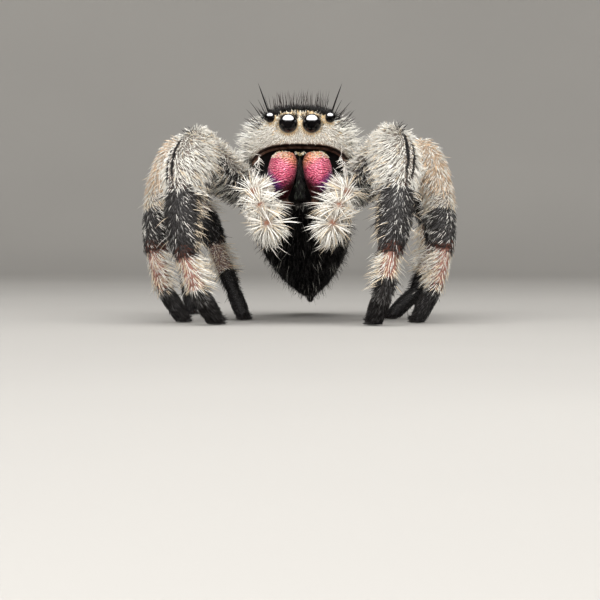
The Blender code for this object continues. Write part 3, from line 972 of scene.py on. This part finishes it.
def build_jaws():
    """Both jaws, each with its fang folded in under it."""
    scales = jaw_material()
    for side, mirror in MIRRORS:
        name = f"chelicera_{side}"
        x, z = FACE[0] + mirror * JAW_OUT, EYE_LEVEL - 1.0 - JAW_HALVES[2]
        centre = np.array([x, cad_middle(name)[1], z])
        JAWS.append(centre)
        points, faces, colour = jaw_surface(centre, mirror)
        mesh = new_mesh(name, points, faces)
        set_colour(mesh, colour)
        piece(f"{name}_shell", mesh, scales, "iridescent", name)
        root = centre + (0, 0.05, -JAW_HALVES[2] + 0.10)
        tip = root + (-mirror * 0.36, 0.22, -0.26)
        bend = root + (-mirror * 0.10, 0.02, -0.26)
        parts = [tube_shape(root, bend, 0.16, 0.15, 0.11), tube_shape(bend, tip, 0.11, 0.08, 0.03)]
        fang = new_mesh(f"fang_{side}", *remeshed(joined(parts), 0.03, 3))
        piece(f"fang_{side}", fang, SHELL_MATERIAL, "eye")


def build_rim():
    """The bare glossy brown edge of the head round the opening for the jaws, its brown lightened as painted
    light.
    """
    power = 2 / ARCH_SQUARENESS
    spine = []
    for a in np.linspace(radians(14), radians(166), 90):
        x = FACE[0] + 1.03 * ARCH_HALF_WIDTH * copysign(abs(cos(a)) ** power, cos(a))
        z = ARCH_FOOT + 1.035 * ARCH_HEIGHT * sin(a) ** power
        hit = skin.tree.ray_cast(Vector((x, FACE[1] - 3, z)), Vector((0, 1, 0)), 5.5)[0]
        spine.append((x, hit.y if hit else np.nan, z))
    spine = np.array(spine)
    known = ~np.isnan(spine[:, 1])
    spine[:, 1] = np.interp(np.arange(len(spine)), np.flatnonzero(known), spine[known, 1])
    for _ in range(6):
        spine[1:-1, 1] = (spine[:-2, 1] + 2 * spine[1:-1, 1] + spine[2:, 1]) / 4
    spine[:, 1] -= 0.03
    way = unit(np.gradient(spine, axis=0))
    out = unit(np.cross(way, (0.0, -1.0, 0.0)))
    forward = unit(np.cross(out, way))
    sides, rings = 14, len(spine)
    steps = np.minimum(np.arange(rings), np.arange(rings)[::-1])
    taper = np.sin(pi * np.minimum(1.0, 0.08 + steps / 16) / 2)[:, None]
    turns = [2 * pi * i / sides for i in range(sides)]
    points = [spine + (out * 0.055 * cos(a) + forward * 0.050 * sin(a)) * taper for a in turns]
    ends = [tuple(range(sides)), tuple(reversed(range((rings - 1) * sides, rings * sides)))]
    mesh = new_mesh("mouth_rim", np.stack(points, 1).reshape(-1, 3), ring_faces(rings, sides) + ends)
    # The rim's shell is its own glossy brown, lightened all over as painted light against the shadow that
    # the face's fur casts on it.
    rim_shell_painted_light = shell_material("bare_rim_painted_light", (0.090, 0.040, 0.028), (0.400, 0.230, 0.170))
    piece("mouth_rim", mesh, rim_shell_painted_light, "eye")


build_eyes()
build_jaws()
build_rim()

# --- build: coat


def drawn(roots, *values):
    """Measures for each root: a pair of limits is drawn between, and a function gets the roots."""
    for value in values:
        if isinstance(value, tuple):
            value = spread(*value, roots.count)
        yield value(roots) if callable(value) else value


def coat(name, density, length, radius, lift, bend, rings, slot, painted_light_and_shade=1, clump=0.15, stray=0.18, tint=None):
    """A pass of hairs that follow the lie of the coat. Their colour is scaled by a painted brightness: below
    one as painted shade between the hairs, above one as painted light.
    """
    roots = skin.scatter(density)
    swirl = clump * wander(roots.p, 3.1, (4, 7, 1)) * 2 + stray * normal(roots.count)
    lie = turned(lie_of(roots), roots.n, swirl)
    length, radius, lift = drawn(roots, length, radius, lift)
    length = length * spread(0.75, 1.2, roots.count)
    radius = radius * spread(0.8, 1.2, roots.count)
    lift = np.radians(lift + LIFT_PLAY * normal(roots.count))
    colour = (tint or hair_colours)(roots) * painted_light_and_shade
    # Each hair is painted 15% darker at its root than at its tip: painted shade deep in the coat.
    grow(name, roots, lie, length, radius, lift, radians(bend), colour * 0.85, colour, rings, slot)


def directed(name, roots, ways, length, radius, bend, colour, slot, rings=4):
    """Hairs that leave the skin in given directions, whichever way it faces."""
    length, radius, bend, colour = drawn(roots, length, radius, bend, colour)
    lift = np.arcsin(np.clip((unit(ways) * roots.n).sum(1), 0.05, 0.97))
    grow(name, roots, along_skin(ways, roots.n), length, radius, lift, bend, colour, colour, rings, slot)


def free_hairs(name, points, normals, way, scatter, length, radius, lift, bend, colour, slot, rings=3):
    """Hairs on the jaws, which aren't part of the skin."""
    roots = Spots(points, unit(normals), np.zeros(len(points), int))
    length, radius, lift = drawn(roots, length, radius, lift)
    lie = turned(along_skin(np.array(way), roots.n), roots.n, scatter * normal(roots.count))
    # Each hair is painted 20% darker at its root than at its tip: painted shade deep in the tufts.
    grow(name, roots, lie, length, radius, np.radians(lift), bend, colour * 0.8, colour, rings, slot)


def by_face(x, y, z):
    """Points beside the middle of the face, behind its front and above the eyes."""
    return rows(FACE[0] + x, FACE[1] + y, EYE_LEVEL + z)


def plain(colour):
    return lambda roots: np.tile(colour, (roots.count, 1))


def near_white(roots):
    return WHITE * (1 + 0.05 * normal((roots.count, 1)))


def near_black(roots):
    return linear(30, 27, 24) * spread(0.3, 1.2, roots.count)[:, None]


def head_coat():
    s = skin.spots
    ring = arch_ring(s)
    out, y, above = s.out, s.y, s.above
    head = (s.region == HEAD) & ((ring > 1.13) | (y > 1.9)) & (s.eye_gap > 0.02)
    edge = 0.8 + 0.5 * s.cloud + 0.4 * s.grain
    band = head & (y < edge) & (above > 0.12) & (s.n[:, 2] > 0.64) & (out < 1.35)
    face = head & (y < 1.35) & ~band
    rest = head & ~face & ~band

    def face_length(r):
        far = ramp(np.hypot(r.x, r.above), 0.5, 1.9)
        near_rim = 0.65 + 0.35 * ramp(arch_ring(r), 1.13, 1.5)
        return (0.145 + 0.12 * far) * (0.62 + 0.38 * ramp(r.eye_gap, 0.02, 0.20)) * near_rim

    def under_length(r):
        return 0.8 * face_length(r)

    def rest_length(r):
        return 0.15 + 0.16 * ramp(r.y + 1.6 * (0.35 - r.above), 0.4, 1.8)

    def band_length(r):
        return 0.23 + 0.09 * ramp(r.out, 0.35, 1.0)

    dense = 270.0 + 330.0 * (1 - ramp(s.eye_gap, 0.08, 0.30))
    # The under layers are darkened as painted shade between the hairs, and the face's coat is lightened a
    # little as painted light.
    coat("coat_face_under", face * 240.0, under_length, 0.0135, 20, -12, 1, "white_coat", 0.95)
    coat("coat_face", face * dense, face_length, 0.0170, 34, -22, 2, "white_coat", 1.04, 0.22, 0.22)
    coat("coat_head_under", rest * 170.0, 0.20, 0.0135, 18, -12, 1, "white_coat", 0.75)
    coat("coat_head", rest * 190.0, rest_length, 0.0145, 26, -20, 2, "white_coat", 1.0, 0.35)
    dark = ("black_coat", 1.0, 0.1, 0.3, near_black)
    coat("coat_brow_band", band * 430.0, band_length, 0.0125, 66, -20, 2, *dark)
    cheek = head & (y < 2.0) & (out > 1.15) & (above < 0.32) & (above > -1.6) & (s.eye_gap > 0.10)
    roots = skin.scatter(cheek * np.maximum(ramp(out, 1.25, 1.7), (above > 0) & (y > 0.4)) * 56.0)
    rise = ramp(roots.above, -1.5, 0.2)
    ways = rows(np.sign(roots.x), spread(-0.85, -0.1, roots.count), -0.15 + 0.65 * rise)
    ways = unit(ways + 0.13 * normal(ways.shape))
    lengths = spread(0.34, 0.68, roots.count) * (1 - 0.35 * ramp(roots.above, -0.1, 0.25))
    directed("coat_cheeks", roots, ways, lengths, (0.013, 0.018), (-0.5, -0.1), near_white, "white_coat")
    coat("coat_head_strays", rest * 14.0, 0.36, 0.0090, 52, -28, 3, "white_coat", 1.0, 0.3, 0.3)
    lip = head & (y < 1.6) & (ring < 1.32) & (above > -1.7)
    coat("coat_lip", lip * 90.0, 0.17, 0.0135, 26, -24, 3, "white_coat", 1.0, 0.1, 0.2, near_white)


def body_coat():
    s = skin.spots
    chest = (s.region == CHEST) * (s.y > 1.6)
    back = s.region == ABDOMEN

    def stray_colour(r):
        pale = RNG.random(r.count) < np.where(np.abs(r.back_phi) < 1.8, 0.35, 0.10)
        return np.where(pale[:, None], WHITE * 0.75, SMOKE * 0.7)

    coat("coat_chest", chest * 120.0, 0.27, 0.0135, 34, -22, 2, "white_coat", 1.0, 0.3)
    # The under layer is darkened as painted shade between the hairs.
    coat("coat_abdomen_under", back * 150.0, 0.22, 0.0140, 16, -10, 1, "black_coat", 0.7, 0.3)
    coat("coat_abdomen", back * 215.0, 0.27, 0.0125, 27, -20, 2, "black_coat", 1.0, 0.3)
    coat("coat_spinnerets", (s.region == SPINNERETS) * 300.0, 0.12, 0.0100, 18, -10, 2, "black_coat")
    coat("coat_strays", back * 22.0, 0.52, 0.0080, 50, -30, 3, "black_coat", 1.0, 0.3, 0.3, stray_colour)
    coat("coat_strays_chest", chest * 10.0, 0.45, 0.0090, 55, -30, 3, "white_coat")


def leg_table(front, second, hind):
    """Values for each segment of each pair of legs, and none for the body and the palps."""
    none = (0.0,) * len(SEGMENTS)
    return np.array([none, front, second, hind, hind, none])


LEG_DENSITY = leg_table((140, 150, 200, 130, 380), (140, 150, 200, 130, 380), (150, 150, 190, 130, 380))
LEG_LENGTH = leg_table(
    (0.46, 0.40, 0.24, 0.30, 0.20),
    (0.32, 0.34, 0.23, 0.29, 0.19),
    (0.24, 0.24, 0.20, 0.24, 0.17),
)
LEG_RADIUS = leg_table(
    (0.0185, 0.0190, 0.0150, 0.0150, 0.0120),
    (0.0170, 0.0175, 0.0140, 0.0145, 0.0115),
    (0.0125, 0.0125, 0.0115, 0.0120, 0.0100),
)


def limb_coat():
    """Short hair of the legs: thick and pale on the front pairs, thin and dark behind."""
    s = skin.spots

    def lift(r):
        turn = ramp(r.side_on, 0.3, 1.5)
        return np.where(r.index == 4, 22, np.where(r.index == 2, 26 + 10 * turn, 32 + 16 * turn))

    def length(r):
        between = r.is_leg((1,), 1) & (r.phi > 0.18) & (r.phi < 0.86)
        return LEG_LENGTH[r.pair, r.index] * np.where(between, 0.36, 1.0)

    def under_length(r):
        return 0.75 * length(r)

    def radius(r):
        return LEG_RADIUS[r.pair, r.index]

    for pair in PAIRS:
        density = LEG_DENSITY[s.pair, s.index] * (s.pair == pair)
        density[s.is_leg((pair,), 3) & (s.side_on < 0.45) & (s.t < 0.85)] *= 0.62
        name, slot, rings = f"coat_legs_{pair}", "dark_coat", 2
        if pair <= 2:
            slot, rings = "white_coat", 3
            under = density * (s.index < 4) * 0.75
            # The under layer is darkened as painted shade between the hairs.
            coat(f"{name}_under", under, under_length, radius, 18, -10, 1, slot, 0.68)
        coat(name, density, length, radius, lift, -26, rings, slot, 1.0, 0.12, 0.12)


FRINGES = (
    # pairs, segment, from, to, density on the side that faces the head, and on the other
    ((1,), 0, 0.1, 1.0, 16, 7),
    ((1,), 1, 0.0, 1.0, 26, 9),
    ((1,), 2, 0.0, 1.0, 16, 12),
    ((1,), 2, 0.0, 0.15, 120, 95),
    ((1, 2), 3, 0.10, 0.92, 105, 34),
    ((2,), 0, 0.1, 1.0, 12, 12),
    ((2,), 1, 0.0, 1.0, 18, 18),
    ((2,), 2, 0.0, 0.5, 20, 14),
    ((3, 4), 0, 0.1, 1.0, 5, 5),
    ((3, 4), 1, 0.0, 1.0, 6, 6),
    ((3, 4), 2, 0.0, 0.28, 80, 80),
    ((3, 4), 2, 0.28, 1.0, 4, 4),
    ((3, 4), 3, 0.0, 0.62, 100, 100),
    (PAIRS, 4, 0.0, 0.5, 8, 8),
)


def limb_fringes():
    """Long soft hairs of the legs."""
    s = skin.spots
    edge = np.where(s.pair > 2, 1.0, ramp(s.side_on, 0.5, 1.1))
    density = np.zeros(s.count)
    for pairs, index, start, end, inside, outside in FRINGES:
        m = s.is_leg(pairs, index) & (s.t >= start) & (s.t < end)
        density[m] = (np.where(s.phi < 0, inside, outside) * edge)[m]

    def length(r):
        return np.where(r.index == 4, 0.28, np.where(r.pair == 1, 0.60, np.where(r.index == 3, 0.54, 0.52)))

    def colour(r):
        pale = (markings(r)[0].mean(1) > 0.3) | (RNG.random(r.count) < 0.6)
        pale &= r.index < 4
        tint = np.where(pale[:, None], CREAM, SMOKE * 0.6)
        tint[pale & (RNG.random(r.count) < 0.6)] = WHITE
        return tint * (1 + 0.06 * normal((r.count, 1)))

    coat("coat_fringes", density, length, 0.0125, 60, -28, 4, "white_coat", 1.0, 0.15, 0.16, colour)


def palp_coat():
    """Palps like dandelions: stiff white hairs that fan out from a few points."""
    s = skin.spots

    def gap(r):
        return burst_gaps(r.p).min(axis=1)

    def length(r):
        lie = np.abs(lie_of(r))
        sideways = 1 + 0.70 * lie[:, 0] ** 2 - 0.20 * lie[:, 2]
        return (0.34 + 0.36 * ramp(gap(r), 0.03, 0.30)) * sideways

    def lift(r):
        return 60 - 26 * ramp(gap(r), 0.05, 0.35)

    def colour(r):
        return blend(hair_colours(r, 0.05), linear(150, 98, 66), 0.65 * (1 - ramp(gap(r), 0.03, 0.13)))

    palp = (s.pair == PALP) & (s.index > 0)
    root = (s.pair == PALP) & (s.index == 0)
    thin = palp * (0.60 + 0.40 * ramp(gap(s), 0.05, 0.16))
    # The under layer, and a little the coat of the palps' roots, are darkened as painted shade between the
    # hairs.
    coat("coat_palps_under", palp * 150.0 + root * 120.0, 0.22, 0.0130, 22, -10, 1, "white_coat", 0.55)
    coat("coat_palps", thin * 170.0, length, 0.0190, lift, -24, 4, "white_coat", 1.0, 0.06, 0.10, colour)
    coat("coat_palp_roots", root * 60.0, 0.34, 0.0150, 44, -24, 3, "white_coat", 0.9)


BRISTLES = (
    # out, back, above the eyes, outward lean, length, radius
    (1.24, 0.35, 0.50, 0.34, 1.25, 0.040),
    (1.52, 0.45, 0.30, 0.75, 1.00, 0.018),
    (1.64, 0.60, 0.10, 0.95, 0.85, 0.018),
    (1.40, 0.80, 0.52, 0.55, 0.80, 0.018),
    (1.66, 0.40, -0.10, 1.30, 0.75, 0.018),
    (0.60, 0.90, 0.70, 0.15, 0.60, 0.018),
)


def brow_hairs():
    """The thin dark fringe that stands up over the eyes, its sides, and its few stout bristles."""
    s = skin.spots
    count = 62
    across = np.linspace(-1.16, 1.16, count) + spread(-0.02, 0.02, count)
    back = spread(0.25, 0.75, count)
    roots = skin.nearest(by_face(across, back, 0.9))
    ways = rows(across * 0.22, spread(-0.25, 0.05, count), 1.0)
    ways += 0.07 * normal(ways.shape)
    colour = BROWN * spread(0.25, 0.9, count)[:, None]
    lengths = spread(0.48, 0.84, count) + 0.05 * np.abs(across)
    directed("coat_brow", roots, ways, lengths, (0.0095, 0.0135), (-0.25, 0.15), colour, "dark_coat")
    flank = (s.region == HEAD) & (s.above > -0.15) & (s.y < 1.9) & (s.y > 0.25)
    roots = skin.scatter(30.0 * (flank & (s.out > 1.15) & (s.eye_gap > 0.08)))
    count = roots.count
    drop = ramp(0.5 - roots.above, 0, 0.6)
    ways = rows(np.sign(roots.x) * (0.45 + 0.55 * drop), spread(-0.4, 0.0, count), 1.0 - 0.35 * drop)
    ways += 0.10 * normal(ways.shape)
    colour = BROWN * spread(0.2, 0.9, count)[:, None]
    directed("coat_brow_sides", roots, ways, (0.35, 0.75), (0.0085, 0.012), (-0.3, 0.1), colour, "dark_coat")
    bristles = np.array([(mirror, *bristle) for bristle in BRISTLES for _, mirror in MIRRORS])
    mirror, out, back, above, lean, lengths, radius = bristles.T
    roots = skin.nearest(by_face(mirror * out, back, above))
    ways = rows(mirror * lean, -0.25, 1.0)
    directed("coat_bristles", roots, ways, lengths, radius, 0.12, plain(BLACK), "black_coat", 5)


def jaw_tops():
    """Pale tufts along the top of the jaws and where they join."""
    points, normals = [], []
    count = 900
    for centre in JAWS:
        height = 0.99 - 0.22 * RNG.random(count) ** 1.3
        turn = RNG.random(count) * 2 * pi
        width = (1 - height**2) ** 0.36
        ball = rows(np.cos(turn) * width, np.sin(turn) * width, height)
        points.append(centre + ball * JAW_HALVES)
        normals.append(unit(ball / JAW_HALVES))
    count = 60
    x = RNG.uniform(-0.2, 0.2, count)
    points.append(by_face(x, spread(0.0, 0.30, count), -1.12 + 0.10 * RNG.random(count) + np.abs(x) * 0.3))
    normals.append(unit(rows(x * 4, -1.0, 0.9)))
    points, normals = np.concatenate(points), np.concatenate(normals)
    pick = RNG.random((len(points), 1))
    colour = np.where(pick < 0.52, WHITE, np.where(pick < 0.88, linear(240, 214, 140), BROWN))
    lift = spread(20, 45, len(points))
    size = ((0.06, 0.12), (0.011, 0.016), lift, -0.4)
    free_hairs("coat_jaw_tops", points, normals, (0, -1, -0.8), 0.5, *size, colour, "white_coat")


def jaw_wedge():
    """Dark hair that fills the gap between the jaws."""
    count = 700
    fall = RNG.random(count)
    half = 0.012 + 0.17 * fall**0.8
    x = (RNG.random(count) * 2 - 1) * half
    y = 0.02 + 0.16 * np.abs(x) / half + 0.10 * RNG.random(count)
    points, normals = by_face(x, y, -1.20 - 1.35 * fall), rows(x * 5, -1.0, 0.0)
    tone = np.where(RNG.random((count, 1)) < 0.12, linear(88, 96, 80), BLACK)
    colour = tone * spread(0.3, 1.4, count)[:, None]
    size = ((0.16, 0.30), (0.009, 0.013), (8, 30), -0.2)
    free_hairs("coat_jaw_wedge", points, normals, (0, 0, -1), 0.22, *size, colour, "dark_coat")


def jaw_corners():
    """A few white hairs that cross the dark corners beside the jaws."""
    count = 54
    mirror = np.where(np.arange(count) % 2 == 0, 1.0, -1.0)
    drop = RNG.random(count)
    x = mirror * (1.36 + 0.36 * drop + 0.10 * RNG.random(count))
    points = by_face(x, spread(0.20, 0.5, count), -1.12 - 0.8 * drop)
    normals, colour = rows(mirror * -0.3, -1.0, 0.0), np.tile(WHITE, (count, 1))
    size = ((0.24, 0.42), (0.011, 0.015), (20, 45), -0.1)
    free_hairs("coat_jaw_corners", points, normals, (0, -0.5, -1), 0.9, *size, colour, "white_coat", 4)


def claw_tufts():
    """Dense dark brushes on the ends of the feet."""
    places, ways = [], []
    for s in FEET:
        for _ in range(260):
            turn = unit(normal(3))
            way = unit(s.axis * RNG.uniform(0.1, 1.2) + (turn - s.axis * (turn @ s.axis)))
            places.append(s.end + way * 0.2)
            ways.append(way)
    roots, ways = skin.nearest(places), np.array(ways)
    colour = DARK * spread(0.4, 1.5, roots.count)[:, None]
    directed("coat_claws", roots, ways, (0.14, 0.24), (0.010, 0.014), (-0.3, 0.1), colour, "black_coat", 2)


def build_claws():
    """Two small dark claws at the end of each foot, half hidden in its brush."""
    shapes = []
    for s in FEET:
        ahead = unit(s.axis * (1, 1, 0))
        across = np.cross(ahead, (0, 0, 1))
        for out in (-0.06, 0.06):
            root = s.end + s.axis * 0.02 + across * out
            root[2] = max(root[2], FOOT_RADIUS)
            knuckle = root + ahead * 0.15 + (0, 0, 0.02)
            tip = knuckle + ahead * 0.06 - (0, 0, 0.09)
            shapes.append(tube_shape(root, knuckle, 0.035, 0.034, 0.026, 8, 0.04))
            shapes.append(tube_shape(knuckle, tip, 0.026, 0.018, 0.006, 8, 0.04))
    piece("claws", new_mesh("claws", *joined(shapes)), SHELL_MATERIAL, "eye")


build_claws()
head_coat()
body_coat()
limb_coat()
limb_fringes()
palp_coat()
brow_hairs()
jaw_tops()
jaw_wedge()
jaw_corners()
claw_tufts()

# --- stage, light and camera

FLAT_RADIUS = 105
CURVE_RADIUS = 75
WALL_HEIGHT = 260


def build_stage():
    """A pale dish: flat under the spider and curving up all round, far off."""
    sides = 96
    profile = [(r, 0.0) for r in (20, 50, 80, FLAT_RADIUS)]
    for k in range(1, 13):
        a = pi / 2 * k / 12
        profile.append((FLAT_RADIUS + CURVE_RADIUS * sin(a), CURVE_RADIUS * (1 - cos(a))))
    profile.append((FLAT_RADIUS + CURVE_RADIUS, WALL_HEIGHT))
    turns = [2 * pi * i / sides for i in range(sides)]
    points = [(0.0, 0.0, 0.0)] + [(r * cos(a), r * sin(a), z) for r, z in profile for a in turns]
    faces = [(0, 1 + i, 1 + (i + 1) % sides) for i in range(sides)]
    faces += [tuple(reversed(face)) for face in ring_faces(len(profile), sides, 1)]
    mesh = new_mesh("stage_dish", points, faces)
    mesh.shade_smooth()
    mesh.materials.append(floor_material())
    stage = new_object("stage_dish", mesh)
    stage.visible_glossy = False


def look(obj, place, target):
    """Puts a lamp or a camera in its place and turns it to its target."""
    obj.location = place
    obj.rotation_euler = (target - place).to_track_quat("-Z", "Y").to_euler()


def area_light(name, place, target, size, radiance, glossy=True):
    light = bpy.data.lights.new(name, "AREA")
    light.shape = "RECTANGLE"
    light.size, light.size_y = size
    light.energy = radiance * pi * size[0] * size[1]
    obj = new_object(name, light)
    look(obj, Vector(place), Vector(target))
    obj.visible_glossy = glossy
    obj.visible_camera = False
    return obj


def mirrored_light():
    """A wide round lamp overhead that only the eyes and the rim of the mouth mirror."""
    obj = area_light("light_eyes", (0, -0.034, 0.085), (0, -0.034, 0), (0.210, 0.146), 21.0)
    obj.data.shape = "ELLIPSE"
    obj.visible_diffuse = False
    seen_in = bpy.data.collections.new("mirrors")
    for part in SCENE.objects:
        if part.name.startswith("eye_front") or part.name == "mouth_rim":
            seen_in.objects.link(part)
    obj.light_linking.receiver_collection = seen_in


build_stage()
area_light("light_key", (0.0, -0.088, 0.094), (0, -0.004, 0.005), (0.190, 0.078), 4.3)
area_light("light_top", (0.0, -0.005, 0.130), (0, -0.005, 0.0), (0.150, 0.090), 2.3)
area_light("light_front", (0.0, -0.145, 0.040), (0, 0, 0.004), (0.160, 0.080), 3.0, False)
area_light("light_left", (-0.115, -0.110, 0.050), (0, 0, 0.004), (0.09, 0.09), 2.4, False)
area_light("light_right", (0.115, -0.110, 0.050), (0, 0, 0.004), (0.09, 0.09), 1.8, False)
mirrored_light()
world = bpy.data.worlds.new("studio")
world.use_nodes = True
set_inputs(world.node_tree.nodes["Background"], {"Color": (0.80, 0.78, 0.75, 1), "Strength": 0.48})
world.cycles_visibility.glossy = False
SCENE.world = world
SCENE.view_settings.view_transform = "Standard"

SENSOR_WIDTH = 36.0
FRAME_WIDTH = 21.3  # millimetres seen across the picture, at the face
DISTANCE = 88.0
ELEVATION = radians(1.5)
AIM_DROP = 6.26  # below the eyes
camera_data = bpy.data.cameras.new("camera")
camera_data.sensor_width = SENSOR_WIDTH
camera_data.lens = SENSOR_WIDTH * DISTANCE / FRAME_WIDTH
camera_data.clip_start = 0.005
camera = new_object("camera", camera_data)
aim = Vector((FACE[0], FACE[1], EYE_LEVEL - AIM_DROP)) * MM
look(camera, aim + Vector((0, -cos(ELEVATION), sin(ELEVATION))) * DISTANCE * MM, aim)
SCENE.camera = camera
